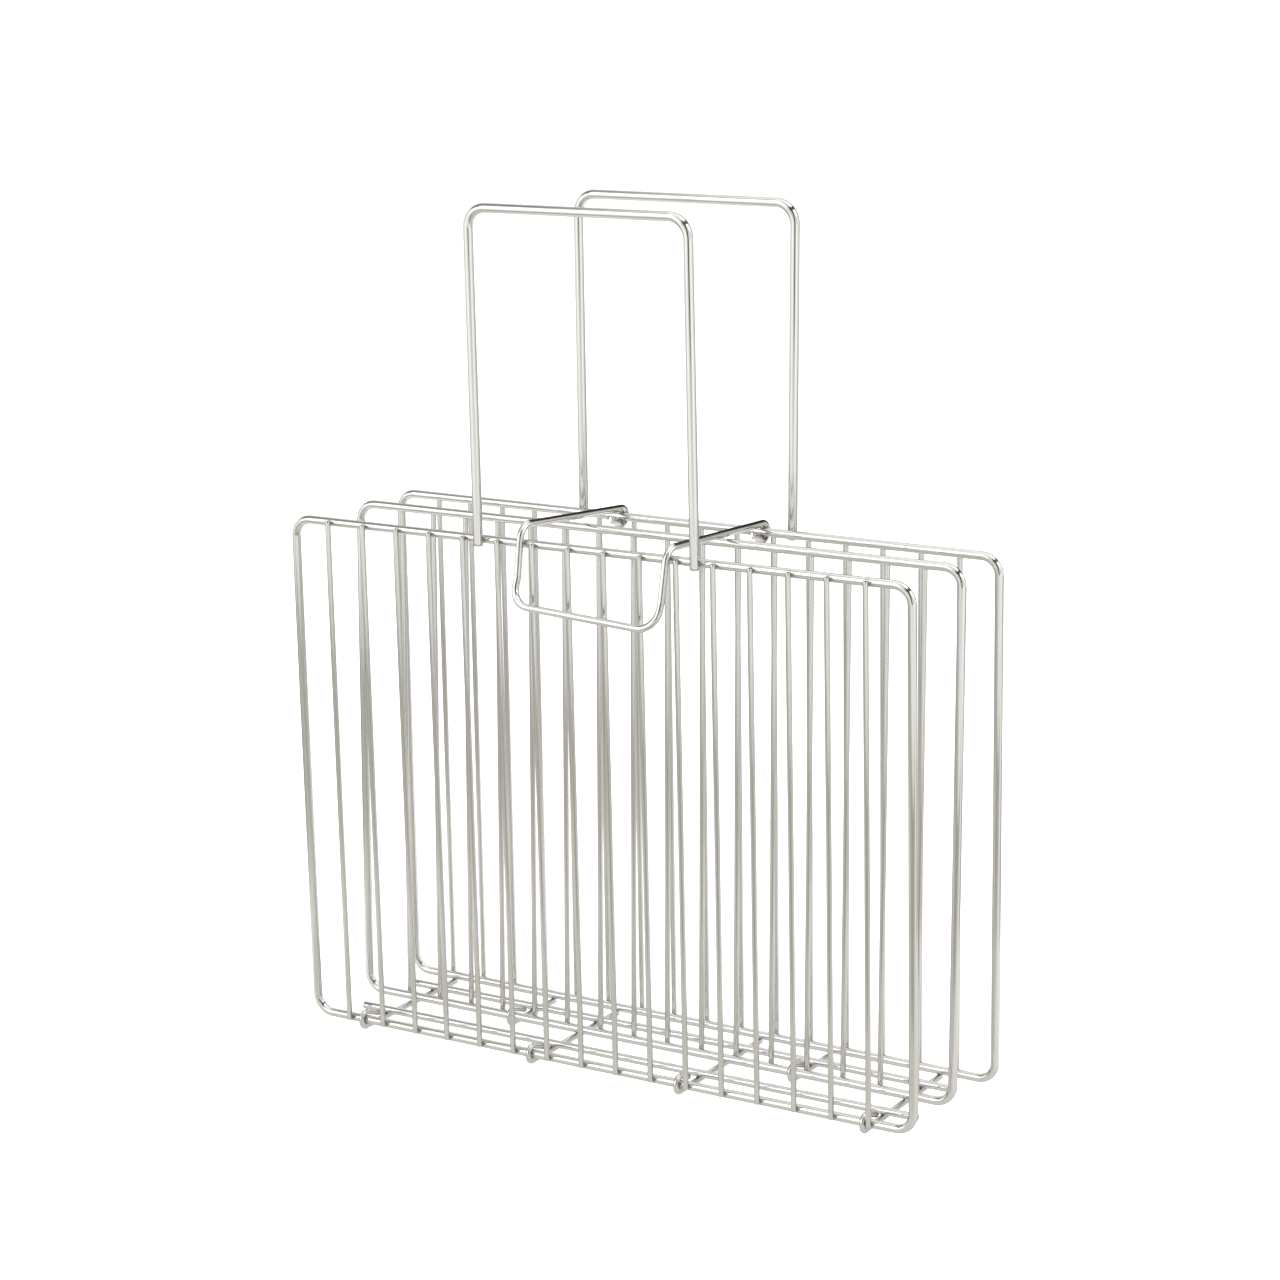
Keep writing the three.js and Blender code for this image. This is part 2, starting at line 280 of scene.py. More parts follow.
def weld(at, rail_axis, out, rail_r, bar_r, gap, size):
    """The fillet of metal that a resistance weld leaves round the contact of two
    crossed wires. at is the rail's centre, out points from the rail to the bar."""
    along = unit(rail_axis)
    out = unit(out - along * np.dot(out, along))
    across = np.cross(out, along)
    base = at + out * rail_r
    segments = 20
    phase = rng.uniform(0, 2 * math.pi, 3)
    profile = [(0.0, 1.0), (0.12, 0.90), (0.32, 0.80), (0.6, 0.80), (0.85, 0.90), (1.0, 1.0)]
    verts, heats, faces, uvs = [], [], [], []
    for t, squeeze in profile:
        for k in range(segments):
            a = 2 * math.pi * k / segments
            s = size * (1 + 0.05 * math.sin(2 * a + phase[0]) + 0.04 * math.sin(3 * a + phase[1]) + 0.02 * math.sin(5 * a + phase[2]))
            s_low = min(s, rail_r * 0.86)
            s_high = min(s, bar_r * 0.86)
            low = -(rail_r - math.sqrt(rail_r**2 - (s_low * math.sin(a)) ** 2)) - 0.05
            high = gap + bar_r - math.sqrt(bar_r**2 - (s_high * math.cos(a)) ** 2) + 0.05
            reach = s * squeeze
            verts.append(base + along * reach * math.cos(a) + across * reach * math.sin(a) + out * (low + (high - low) * t))
            heats.append(1.0)
    verts.append(base - out * 0.08)
    verts.append(base + out * (gap + 0.08))
    heats += [1.0, 1.0]
    bottom, top = len(verts) - 2, len(verts) - 1
    rows = len(profile)
    for i in range(rows - 1):
        for k in range(segments):
            l = (k + 1) % segments
            faces.append((i * segments + k, i * segments + l, (i + 1) * segments + l, (i + 1) * segments + k))
            uvs.append(((k * 0.0004, i * 0.0003), (k * 0.0004 + 0.0004, i * 0.0003), (k * 0.0004 + 0.0004, i * 0.0003 + 0.0003), (k * 0.0004, i * 0.0003 + 0.0003)))
    last = (rows - 1) * segments
    for k in range(segments):
        l = (k + 1) % segments
        faces.append((l, k, bottom))
        faces.append((last + k, last + l, top))
        uvs.append(((0, 0), (0.0004, 0), (0, 0.0003)))
        uvs.append(((0, 0), (0.0004, 0), (0, 0.0003)))
    return verts, faces, uvs, heats


class Gathered:
    """Several small surfaces collected into one piece."""

    def __init__(self):
        self.verts, self.faces, self.uvs, self.heats = [], [], [], []

    def add(self, surface, place=None):
        verts, faces, uvs, heats = surface
        start = len(self.verts)
        verts = np.asarray(verts, float)
        if place is not None:
            verts = place(verts)
        self.verts.extend(verts)
        self.faces.extend(tuple(i + start for i in face) for face in faces)
        self.uvs.extend(uvs)
        self.heats.extend(heats)

    def piece(self, name, body, slot, material):
        return new_piece(name, self.verts, self.faces, self.uvs, self.heats, body, slot, material)


# -------------------------------------------------------------------- materials
def steel(name, tone, roughness, streak, bump):
    """Drawn stainless wire: a warm grey metal with fine streaks along the wire,
    cloudy wiping marks, and straw and grey heat tint near the welds."""
    material = bpy.data.materials.new(name)
    material.use_nodes = True
    nt = material.node_tree
    nt.nodes.clear()
    new, link = nt.nodes.new, nt.links.new

    def node(kind, **values):
        n = new(kind)
        for key, value in values.items():
            setattr(n, key, value)
        return n

    output = node("ShaderNodeOutputMaterial")
    shader = node("ShaderNodeBsdfPrincipled")
    shader.inputs["Metallic"].default_value = 1.0
    shader.inputs["Specular Tint"].default_value = (0.60, 0.60, 0.60, 1)
    link(shader.outputs["BSDF"], output.inputs["Surface"])

    uv = node("ShaderNodeUVMap", uv_map="along_wire")
    coords = node("ShaderNodeTexCoord")

    # drawing streaks: long along the wire, hair thin across it
    stretch = node("ShaderNodeMapping")
    stretch.inputs["Scale"].default_value = (28.0, 5200.0, 1.0)
    link(uv.outputs["UV"], stretch.inputs["Vector"])
    hair = node("ShaderNodeTexNoise", noise_dimensions="2D")
    hair.inputs["Scale"].default_value = 1.0
    hair.inputs["Detail"].default_value = 3.0
    hair.inputs["Roughness"].default_value = 0.6
    link(stretch.outputs["Vector"], hair.inputs["Vector"])

    # broader die lines
    wide = node("ShaderNodeMapping")
    wide.inputs["Scale"].default_value = (6.0, 1300.0, 1.0)
    link(uv.outputs["UV"], wide.inputs["Vector"])
    lines = node("ShaderNodeTexNoise", noise_dimensions="2D")
    lines.inputs["Scale"].default_value = 1.0
    lines.inputs["Detail"].default_value = 2.0
    link(wide.outputs["Vector"], lines.inputs["Vector"])

    # cloudy wiping marks and slow waviness of the surface
    cloud = node("ShaderNodeTexNoise")
    cloud.inputs["Scale"].default_value = 45.0
    cloud.inputs["Detail"].default_value = 4.0
    cloud.inputs["Roughness"].default_value = 0.55
    link(coords.outputs["Object"], cloud.inputs["Vector"])
    grain = node("ShaderNodeTexNoise")
    grain.inputs["Scale"].default_value = 2600.0
    grain.inputs["Detail"].default_value = 2.0
    link(coords.outputs["Object"], grain.inputs["Vector"])
    wave = node("ShaderNodeTexNoise")
    wave.inputs["Scale"].default_value = 120.0
    wave.inputs["Detail"].default_value = 1.0
    link(coords.outputs["Object"], wave.inputs["Vector"])

    # colour
    ramp = node("ShaderNodeValToRGB")
    ramp.color_ramp.elements[0].position = 0.3
    ramp.color_ramp.elements[0].color = (tone[0] * 0.975, tone[1] * 0.973, tone[2] * 0.968, 1)
    ramp.color_ramp.elements[1].position = 0.7
    ramp.color_ramp.elements[1].color = (tone[0] * 1.02, tone[1] * 1.02, tone[2] * 1.022, 1)
    link(cloud.outputs["Fac"], ramp.inputs["Fac"])

    dull = node("ShaderNodeMix", data_type="RGBA", blend_type="MULTIPLY")
    dull.inputs[0].default_value = 1.0
    thin = node("ShaderNodeValToRGB")
    thin.color_ramp.elements[0].position = 0.25
    thin.color_ramp.elements[0].color = (0.96, 0.957, 0.95, 1)
    thin.color_ramp.elements[1].position = 0.6
    thin.color_ramp.elements[1].color = (1, 1, 1, 1)
    link(lines.outputs["Fac"], thin.inputs["Fac"])
    link(ramp.outputs["Color"], dull.inputs[6])
    link(thin.outputs["Color"], dull.inputs[7])

    # heat tint: attribute broken up by noise, straw at its edge, grey-brown inside
    heat = node("ShaderNodeAttribute", attribute_name="weld_heat")
    patch = node("ShaderNodeTexNoise")
    patch.inputs["Scale"].default_value = 900.0
    patch.inputs["Detail"].default_value = 3.0
    link(coords.outputs["Object"], patch.inputs["Vector"])
    broken = node("ShaderNodeMath", operation="MULTIPLY_ADD")
    link(patch.outputs["Fac"], broken.inputs[0])
    broken.inputs[1].default_value = 0.7
    broken.inputs[2].default_value = -0.45
    summed = node("ShaderNodeMath", operation="ADD", use_clamp=True)
    link(heat.outputs["Fac"], summed.inputs[0])
    link(broken.outputs["Value"], summed.inputs[1])
    tint = node("ShaderNodeValToRGB")
    tint.color_ramp.elements[0].position = 0.0
    tint.color_ramp.elements[0].color = (1, 1, 1, 1)
    tint.color_ramp.elements[1].position = 1.0
    tint.color_ramp.elements[1].color = (0.62, 0.60, 0.57, 1)
    straw = tint.color_ramp.elements.new(0.45)
    straw.color = (0.93, 0.92, 0.895, 1)
    link(summed.outputs["Value"], tint.inputs["Fac"])
    tinted = node("ShaderNodeMix", data_type="RGBA", blend_type="MULTIPLY")
    tinted.inputs[0].default_value = 1.0
    link(dull.outputs[2], tinted.inputs[6])
    link(tint.outputs["Color"], tinted.inputs[7])
    link(tinted.outputs[2], shader.inputs["Base Color"])

    # roughness
    rough = node("ShaderNodeMapRange")
    rough.inputs["From Min"].default_value = 0.3
    rough.inputs["From Max"].default_value = 0.7
    rough.inputs["To Min"].default_value = roughness - streak
    rough.inputs["To Max"].default_value = roughness + streak
    link(hair.outputs["Fac"], rough.inputs["Value"])
    smear = node("ShaderNodeMath", operation="MULTIPLY_ADD")
    link(cloud.outputs["Fac"], smear.inputs[0])
    smear.inputs[1].default_value = 0.04
    link(rough.outputs["Result"], smear.inputs[2])
    scaled = node("ShaderNodeMath", operation="MULTIPLY_ADD")
    link(summed.outputs["Value"], scaled.inputs[0])
    scaled.inputs[1].default_value = 0.16
    link(smear.outputs["Value"], scaled.inputs[2])
    settled = node("ShaderNodeMath", operation="SUBTRACT", use_clamp=True)
    link(scaled.outputs["Value"], settled.inputs[0])
    settled.inputs[1].default_value = 0.02
    link(settled.outputs["Value"], shader.inputs["Roughness"])

    # relief
    height = node("ShaderNodeMath", operation="MULTIPLY_ADD")
    link(hair.outputs["Fac"], height.inputs[0])
    height.inputs[1].default_value = 0.25
    link(lines.outputs["Fac"], height.inputs[2])
    pitted = node("ShaderNodeMath", operation="MULTIPLY_ADD")
    link(grain.outputs["Fac"], pitted.inputs[0])
    pitted.inputs[1].default_value = 0.12
    link(height.outputs["Value"], pitted.inputs[2])
    fine = node("ShaderNodeBump")
    fine.inputs["Strength"].default_value = 0.35
    fine.inputs["Distance"].default_value = bump
    link(pitted.outputs["Value"], fine.inputs["Height"])
    slow = node("ShaderNodeBump")
    slow.inputs["Strength"].default_value = 0.18
    slow.inputs["Distance"].default_value = 0.00001
    link(wave.outputs["Fac"], slow.inputs["Height"])
    link(slow.outputs["Normal"], fine.inputs["Normal"])
    link(fine.outputs["Normal"], shader.inputs["Normal"])
    return material


FRAME_STEEL = steel("steel_frame_wire", (0.67, 0.667, 0.652), 0.12, 0.025, 0.000005)
BAR_STEEL = steel("steel_bar_wire", (0.65, 0.646, 0.63), 0.13, 0.03, 0.000006)
BASE_STEEL = steel("steel_base_wire", (0.65, 0.646, 0.63), 0.13, 0.03, 0.000006)
LATCH_STEEL = steel("steel_latch_wire", (0.69, 0.686, 0.67), 0.10, 0.02, 0.000004)
WELD_STEEL = steel("steel_welds", (0.54, 0.525, 0.50), 0.28, 0.06, 0.000015)


# ----------------------------------------------------------------------- panels
def panel_place(panel):
    a = math.radians(panel["lean"])

    def place(verts):
        out = verts.copy()
        out[:, 1] = verts[:, 1] * math.cos(a) - verts[:, 2] * math.sin(a) + panel["y"]
        out[:, 2] = verts[:, 1] * math.sin(a) + verts[:, 2] * math.cos(a) + panel["z"]
        out[:, 0] += panel["x"]
        return out

    return place


def rail_height(panel, x):
    low, high = panel["height"]
    return low + (high - low) * (x + panel["width"] / 2) / panel["width"]


welds = {"front_panel": Gathered(), "middle_panel": Gathered(), "base": Gathered()}
for name, panel in PANELS.items():
    place = panel_place(panel)
    half, side = panel["width"] / 2, panel["side"]
    corners = [vec(-half, 0, 0), vec(half, 0, 0), vec(half, 0, panel["height"][1]), vec(-half, 0, panel["height"][0])]
    bar_x = BAR_X[name]
    touch = side * (FRAME_D + WELD_GAP) / 2
    stops = [vec(x, touch, z) for x in bar_x for z in (0, rail_height(panel, x))]
    if name in HANDLES:
        stops += [vec(x, touch, rail_height(panel, x)) for x in HANDLES[name]["feet"]]
    line = with_stops(rounded(corners, [FRAME_CORNER_R] * 4, closed=True), stops, closed=True)
    surface = tube(line, FRAME_D, 28, closed=True, stops=stops)
    piece = new_piece(f"{name}_panel_frame_round", *surface, panel["body"], "frame_wire", FRAME_STEEL, place)
    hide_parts(f"{name}_panel_frame")

    offset = side * (FRAME_D / 2 + BAR_D / 2 + WELD_GAP)
    for i, x in enumerate(bar_x):
        height = rail_height(panel, x)
        ends = [vec(x, touch, 0), vec(x, touch, height)]
        line = [(vec(x, offset, -BAR_BOTTOM), Z), (vec(x, offset, height + BAR_TOP), Z)]
        surface = tube(with_stops(line, ends), BAR_D, 20, stops=ends)
        piece = new_piece(f"{name}_panel_bar_{i + 1:02d}_round", *surface, panel["body"], "bar_wire", BAR_STEEL, place)
        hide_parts(f"{name}_panel_bar_{i + 1:02d}")
        for z in (0, height):
            size = 1.12 + 0.10 * rng.uniform(-1, 1)
            welds[panel["body"]].add(weld(vec(x, 0, z), X, Y * side, FRAME_D / 2, BAR_D / 2, WELD_GAP, size), place)

    if name in HANDLES:
        y = side * (FRAME_D / 2 + HANDLE_D / 2 + WELD_GAP)
        handle = HANDLES[name]
        feet = [vec(x, y, rail_height(panel, x) - handle["drop"]) for x in handle["feet"]]
        upper = [vec(x, y, z) for x, z in handle["corners"]]
        line = rounded([feet[0], *upper, feet[1]], [0, HANDLE_CORNER_R, HANDLE_CORNER_R, 0])
        ends = [vec(x, touch, rail_height(panel, x)) for x in handle["feet"]]
        surface = tube(with_stops(line, ends), HANDLE_D, 28, stops=ends, cut=0.35)
        piece = new_piece(f"{name}_handle_round", *surface, panel["body"], "frame_wire", FRAME_STEEL, place)
        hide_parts(f"{name}_handle")
        for end in ends:
            welds[panel["body"]].add(weld(vec(end[0], 0, end[2]), X, Y * side, FRAME_D / 2, HANDLE_D / 2, WELD_GAP, 1.75), place)


# ------------------------------------------------------------------------- base
def cross_line(x, rail_y, tail_end):
    dip = math.radians(EYELET_TAIL_DIP)
    skew = math.radians(CROSS_SKEW)
    rear_end = rail_y + (PANELS["rear"]["y"] + CROSS_END_PAST - rail_y) / math.cos(skew)
    line = [(vec(x, rear_end, CROSS_Z), -Y)]
    line += arc(vec(x, rail_y, 0), vec(x, rail_y, CROSS_Z), -Y, -X, 180 + EYELET_TAIL_DIP)
    leave = line[-1][0]
    run = (rail_y + tail_end - leave[1]) / math.cos(dip)
    line.append((vec(x, leave[1] + run * math.cos(dip), leave[2] - run * math.sin(dip)), vec(0, math.cos(dip), -math.sin(dip))))
    pivot = vec(x, rail_y, 0)
    return [(turned(p - pivot, Z, CROSS_SKEW) + pivot, turned(t, Z, CROSS_SKEW)) for p, t in line]


def crossing(x, rail_y, y):
    return x - (y - rail_y) * math.tan(math.radians(CROSS_SKEW))


cross_axis = turned(Y, Z, CROSS_SKEW)
long_stops = [[], []]
for i, x in enumerate(CROSS_X):
    stops = []
    for k in (0, 1):
        at = crossing(x, 0, LONG_Y[k])
        stops.append(vec(at, LONG_Y[k], CONTACT_Z))
        long_stops[k].append(stops[-1])
        welds["base"].add(weld(vec(at, LONG_Y[k], CROSS_Z), cross_axis, Z, CROSS_D / 2, LONG_D / 2, WELD_GAP, 1.1))
    at = crossing(x, 0, PANELS["rear"]["y"])
    stops.append(vec(at, PANELS["rear"]["y"], CONTACT_Z))
    welds["base"].add(weld(vec(at, PANELS["rear"]["y"], CROSS_Z), cross_axis, Z, CROSS_D / 2, FRAME_D / 2, 0.0, 1.15))
    surface = tube(with_stops(cross_line(x, 0, CROSS_TAIL_END[i]), stops), CROSS_D, 22, stops=stops)
    piece = new_piece(f"cross_wire_{i + 1}_round", *surface, "base", "base_wire", BASE_STEEL)
    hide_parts(f"cross_wire_{i + 1}")

hinges = []
for i, x in enumerate(MIDDLE_CROSS_X):
    rail_y = PANELS["middle"]["y"]
    at = crossing(x, rail_y, LONG_Y[1])
    end = crossing(x, rail_y, PANELS["rear"]["y"])
    stops = [vec(at, LONG_Y[1], CONTACT_Z), vec(end, PANELS["rear"]["y"], CONTACT_Z)]
    long_stops[1].append(stops[0])
    welds["base"].add(weld(vec(at, LONG_Y[1], CROSS_Z), cross_axis, Z, CROSS_D / 2, LONG_D / 2, WELD_GAP, 1.15))
    welds["base"].add(weld(vec(end, PANELS["rear"]["y"], CROSS_Z), cross_axis, Z, CROSS_D / 2, FRAME_D / 2, 0.0, 1.15))
    surface = tube(with_stops(cross_line(x, rail_y, MIDDLE_TAIL_END), stops), CROSS_D, 22, stops=stops)
    hinges.append(new_piece(f"middle_hinge_wire_{i + 1}_round", *surface, "base", "base_wire", BASE_STEEL))

for k, label in ((0, "front_long_wire"), (1, "rear_long_wire")):
    line = [(vec(LONG_X[k][0], LONG_Y[k], LONG_Z), X), (vec(LONG_X[k][1], LONG_Y[k], LONG_Z), X)]
    surface = tube(with_stops(line, long_stops[k]), LONG_D, 24, stops=long_stops[k], cut=0.32)
    piece = new_piece(f"{label}_round", *surface, "base", "base_wire", BASE_STEEL)
    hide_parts("front_long_wire" if k == 0 else "rear_long_wire_with_middle_hinges")

for body, gathered in welds.items():
    gathered.piece(f"{body}_welds", body, "bar_wire" if body != "base" else "base_wire", WELD_STEEL)

# ------------------------------------------------------------------------ latch
HOOK_R = FRAME_D / 2 + LATCH_PLAY + LATCH_D / 2


def on_rear_top_rail(x):
    rear = PANELS["rear"]
    up = vec(x - rear["x"], 0, rail_height(rear, x - rear["x"]))
    return panel_place(rear)(up[None])[0]


def hook(side):
    centre = on_rear_top_rail(side["hook"])
    dy, dz = centre[1] - side["corner"][0], side["corner"][1] - centre[2]
    rise = math.atan2(dz, dy) - math.asin(HOOK_R / math.hypot(dy, dz))
    tail = math.radians(LATCH_TAIL_RISE)
    start = centre + vec(0, -HOOK_R * math.sin(tail), -HOOK_R * math.cos(tail))
    tangent = vec(0, math.cos(tail), -math.sin(tail))
    degrees = 180 + LATCH_TAIL_RISE - math.degrees(rise)
    return [(start - tangent * LATCH_TAIL_LENGTH, tangent)] + arc(centre, start, tangent, X, degrees)


left, right = hook(LATCH_LEFT), hook(LATCH_RIGHT)


def place_of(side, key):
    return vec(side["leg"], *side[key])


loop = rounded(
    [left[-1][0], place_of(LATCH_LEFT, "corner"), place_of(LATCH_LEFT, "kink"), place_of(LATCH_LEFT, "bar"),
     place_of(LATCH_RIGHT, "bar"), place_of(LATCH_RIGHT, "kink"), place_of(LATCH_RIGHT, "corner"), right[-1][0]],
    [0, LATCH_CORNER_R, LATCH_KINK_R, LATCH_BAR_R, LATCH_BAR_R, LATCH_KINK_R, LATCH_CORNER_R, 0],
)
line = left[:-1] + loop + [(p, -t) for p, t in reversed(right[:-1])]
piece = new_piece("latch_bail_round", *tube(line, LATCH_D, 28, cut=0.3), "latch", "latch_wire", LATCH_STEEL)
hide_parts("latch_bail")

# ------------------------------------------------------------------------ stage
def disc(name, radius, height):
    mesh = bpy.data.meshes.new(name)
    rim = [(radius * math.cos(2 * math.pi * k / 64), radius * math.sin(2 * math.pi * k / 64), height) for k in range(64)]
    mesh.from_pydata(rim, [], [tuple(range(64))])
    made = bpy.data.objects.new(name, mesh)
    scene.collection.objects.link(made)
    return made


def direction_of(x, y, z):
    return tuple(unit(vec(x, y, z)))


class Nodes:
    """Small helper for the node trees of the stage."""

    def __init__(self, tree):
        self.tree = tree
        tree.nodes.clear()

    def new(self, kind, **values):
        n = self.tree.nodes.new(kind)
        for key, value in values.items():
            setattr(n, key, value)
        return n

    def put(self, value, socket):
        if hasattr(value, "is_linked"):
            self.tree.links.new(value, socket)
        else:
            socket.default_value = value

    def math(self, operation, a, b):
        n = self.new("ShaderNodeMath", operation=operation)
        self.put(a, n.inputs[0])
        self.put(b, n.inputs[1])
        return n.outputs["Value"]

    def step(self, value, low, high):
        """0 below low and 1 above high, smooth between; falls when low > high."""
        n = self.new("ShaderNodeMapRange", interpolation_type="SMOOTHSTEP")
        n.inputs["From Min"].default_value = min(low, high)
        n.inputs["From Max"].default_value = max(low, high)
        n.inputs["To Min"].default_value = 0.0 if low < high else 1.0
        n.inputs["To Max"].default_value = 1.0 if low < high else 0.0
        self.put(value, n.inputs["Value"])
        return n.outputs["Result"]

    def toward(self, vector, centre):
        n = self.new("ShaderNodeVectorMath", operation="DOT_PRODUCT")
        self.put(vector, n.inputs[0])
        n.inputs[1].default_value = centre
        return n.outputs["Value"]

    def mix(self, fac, a, b):
        n = self.new("ShaderNodeMix", data_type="RGBA")
        self.put(fac, n.inputs[0])
        self.put(a, n.inputs[6])
        self.put(b, n.inputs[7])
        return n.outputs[2]


# plain pale floor, seen and lit, but not mirrored in the wires
floor = disc("floor", 90.0, -0.00025)
floor.visible_glossy = False
paper = bpy.data.materials.new("pale_floor")
paper.use_nodes = True
bsdf = paper.node_tree.nodes["Principled BSDF"]
bsdf.inputs["Base Color"].default_value = (0.80, 0.797, 0.79, 1)
bsdf.inputs["Roughness"].default_value = 0.9
bsdf.inputs["Specular IOR Level"].default_value = 0.1
bsdf.inputs["Emission Color"].default_value = (1.0, 1.0, 1.0, 1)
bsdf.inputs["Emission Strength"].default_value = 0.6
floor.data.materials.append(paper)

# The wires mirror this card instead. It stands for the sweep of paper, which is
# warm and falls off towards the front right, ends in a dark gap, and has the
# brighter studio floor beyond it and past its sides. The basket's own shadow on
# the paper is painted into it, under the basket and just in front of it.
TOWARDS = (0.527, -0.850, 0.0)
SIDEWAYS = (0.850, 0.527, 0.0)
card = disc("bounce_card", 12.0, -0.0012)
card.visible_camera = card.visible_diffuse = card.visible_shadow = card.visible_transmission = False
bounce = bpy.data.materials.new("bounce_card")
bounce.use_nodes = True
n = Nodes(bounce.node_tree)
place = n.new("ShaderNodeTexCoord").outputs["Object"]
ahead = n.toward(place, TOWARDS)
aside = n.toward(place, SIDEWAYS)
aside_either = n.math("ABSOLUTE", aside, 0.0)
ahead_ramp = n.new("ShaderNodeMapRange")
for socket, value in (("From Min", -0.6), ("From Max", 2.2)):
    ahead_ramp.inputs[socket].default_value = value
n.put(ahead, ahead_ramp.inputs["Value"])
sweep = n.new("ShaderNodeValToRGB")
stops = [
    (-0.60, (1.35, 1.35, 1.33)),
    (-0.30, (1.34, 1.33, 1.30)),
    (-0.10, (1.22, 1.20, 1.15)),
    (0.05, (1.00, 0.98, 0.92)),
    (0.22, (0.75, 0.73, 0.67)),
    (0.42, (0.66, 0.645, 0.58)),
    (0.52, (0.60, 0.58, 0.51)),
    (0.575, (0.27, 0.25, 0.21)),
    (0.65, (1.02, 1.01, 0.96)),
    (0.80, (1.15, 1.14, 1.10)),
    (0.95, (1.19, 1.19, 1.16)),
    (1.15, (1.10, 1.10, 1.08)),
    (2.20, (1.18, 1.18, 1.16)),
]
elements = sweep.color_ramp.elements
for i, (at, colour) in enumerate(stops):
    spot = elements[i] if i < 2 else elements.new(1.0)
    spot.position = (at + 0.6) / 2.8
    spot.color = (*colour, 1)
n.put(ahead_ramp.outputs["Result"], sweep.inputs["Fac"])
tone = sweep.outputs["Color"]


def zone(*limits):
    """The product of several smooth steps, each (value, low, high)."""
    fac = 1.0
    for value, low, high in limits:
        fac = n.math("MULTIPLY", fac, n.step(value, low, high))
    return fac


def times(value, factor, plus=0.0):
    return n.math("ADD", n.math("MULTIPLY", value, factor), plus)


slanted = n.math("ADD", aside, times(ahead, -1.2))
outward = n.math("ADD", aside, times(ahead, -0.35, 0.21))
spread = n.math("DIVIDE", aside_either, n.math("MAXIMUM", ahead, 0.1))
skew = n.math("ABSOLUTE", n.math("ADD", n.math("DIVIDE", aside, n.math("MAXIMUM", ahead, 0.1)), 0.09), 0.0)
tone = n.mix(zone((slanted, -0.30, 0.30), (ahead, 0.00, 0.22)), tone, (1.22, 1.21, 1.16, 1))
tone = n.mix(zone((aside, 0.36, 0.50), (aside, 0.98, 0.84), (ahead, 0.24, 0.10), (ahead, -0.30, -0.18)), tone, (0.66, 0.65, 0.61, 1))
tone = n.mix(zone((aside, 0.84, 0.98), (ahead, 0.24, 0.10), (ahead, -0.95, -0.60)), tone, (0.82, 0.81, 0.78, 1))
tone = n.mix(zone((aside, -0.26, -0.50), (aside, -1.05, -0.85), (ahead, 0.42, 0.28)), tone, (0.64, 0.63, 0.58, 1))
tone = n.mix(zone((aside, -0.42, -0.62), (aside, -1.25, -1.05), (ahead, 0.02, -0.12), (ahead, -1.0, -0.8)), tone, (0.50, 0.50, 0.49, 1))
tone = n.mix(zone((aside, -1.05, -1.25), (ahead, -0.20, -0.35), (ahead, -1.0, -0.8)), tone, (0.54, 0.54, 0.53, 1))
tone = n.mix(zone((aside, 0.50, 0.66), (ahead, -0.18, -0.30)), tone, (0.80, 0.80, 0.79, 1))
tone = n.mix(zone((spread, 0.75, 0.28), (ahead, 0.16, 0.28), (ahead, 0.56, 0.46)), tone, (0.52, 0.51, 0.45, 1))
across, along = (n.toward(place, axis) for axis in ((1, 0, 0), (0, 1, 0)))
# painted shadow: the mirrored paper is darker under the basket and in a strip just in front of it, where the basket
# shades it
tone = n.mix(zone((across, -0.24, -0.20), (across, 0.26, 0.20), (along, -0.19, -0.14), (along, -0.05, -0.08)), tone, (0.78, 0.77, 0.71, 1))
tone = n.mix(zone((across, -0.20, -0.17), (across, 0.20, 0.17), (along, -0.08, -0.05), (along, 0.10, 0.08)), tone, (0.86, 0.85, 0.80, 1))
tone = n.mix(zone((outward, -0.75, -1.05), (ahead, 1.45, 1.2), (ahead, 0.0, 0.28)), tone, (1.32, 1.32, 1.30, 1))
tone = n.mix(zone((aside, 0.75, 1.15), (ahead, 0.50, 0.75)), tone, (1.30, 1.30, 1.29, 1))
tone = n.mix(zone((aside, -1.50, -1.80), (ahead, 0.50, 0.75)), tone, (1.42, 1.42, 1.41, 1))
tone = n.mix(zone((aside, 1.15, 1.40), (aside, 2.80, 2.40), (ahead, 0.45, 0.20), (ahead, -1.5, -1.1)), tone, (0.60, 0.60, 0.60, 1))
tone = n.mix(zone((ahead, 1.00, 1.35), (skew, 0.45, 0.65), (spread, 1.6, 1.2)), tone, (1.45, 1.45, 1.45, 1))
tone = n.mix(zone((ahead, 1.15, 1.55), (skew, 0.66, 0.44)), tone, (0.97, 0.96, 0.90, 1))
tone = n.mix(zone((ahead, 1.96, 2.08), (spread, 0.36, 0.12)), tone, (0.14, 0.12, 0.10, 1))
glow = n.new("ShaderNodeEmission")
n.put(tone, glow.inputs["Color"])
n.put(glow.outputs["Emission"], n.new("ShaderNodeOutputMaterial").inputs["Surface"])
card.data.materials.append(bounce)

# The paper rises behind the object: seen by the base wires only.
sheet = bpy.data.meshes.new("rear_paper")
sheet.from_pydata([(-0.27, 0.067, -0.001), (0.27, 0.067, -0.001), (0.27, 0.067, 0.064), (-0.27, 0.067, 0.064)], [], [(0, 1, 2, 3)])
rear_paper = bpy.data.objects.new("rear_paper", sheet)
scene.collection.objects.link(rear_paper)
rear_paper.visible_camera = rear_paper.visible_diffuse = rear_paper.visible_shadow = rear_paper.visible_transmission = False
rear_glow = bpy.data.materials.new("rear_paper")
rear_glow.use_nodes = True
n = Nodes(rear_glow.node_tree)
glow = n.new("ShaderNodeEmission")
glow.inputs["Color"].default_value = (1.25, 1.25, 1.23, 1)
n.put(glow.outputs["Emission"], n.new("ShaderNodeOutputMaterial").inputs["Surface"])
sheet.materials.append(rear_glow)

# Soft studio: a large box at the front left and one overhead on the right, the
# unlit end of the room behind the object, and the dark gap between the boxes
# over the front right.
world = bpy.data.worlds.new("studio")
scene.world = world
world.use_nodes = True
n = Nodes(world.node_tree)
ray = n.new("ShaderNodeTexCoord").outputs["Generated"]


